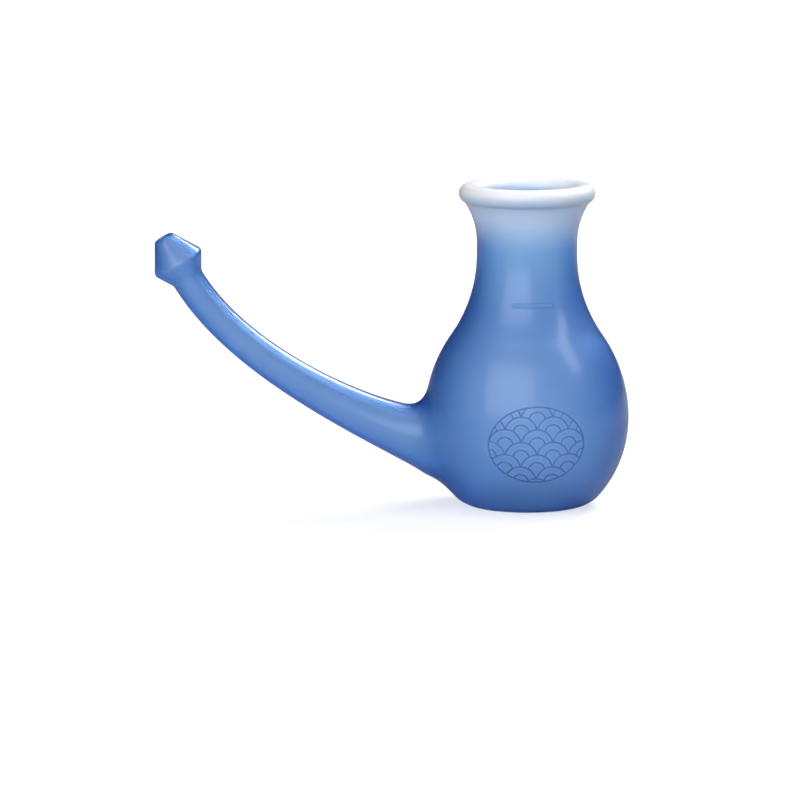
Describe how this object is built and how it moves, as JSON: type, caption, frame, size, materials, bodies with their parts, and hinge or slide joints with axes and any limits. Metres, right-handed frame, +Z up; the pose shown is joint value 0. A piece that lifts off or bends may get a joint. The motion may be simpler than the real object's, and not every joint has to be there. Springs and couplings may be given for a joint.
{
  "type": "neti pot",
  "caption": "One-piece nasal rinsing pot: a round belly, a tall neck with a rolled lip, and a curved horn-shaped spout that ends in a soft double-cone nozzle.",
  "frame": {"origin": "middle of the flat base, on the axis of the belly and neck", "axes": "+Z up along the axis of the belly and neck, the spout points to -X, the fill mark and the ornament face -Y"},
  "size_m": [0.2297, 0.099, 0.157],
  "materials": {
    "frosted_plastic": "frosted, translucent blue"
  },
  "bodies": {
    "root": {"pot": "frosted_plastic"}
  },
  "joints": []
}
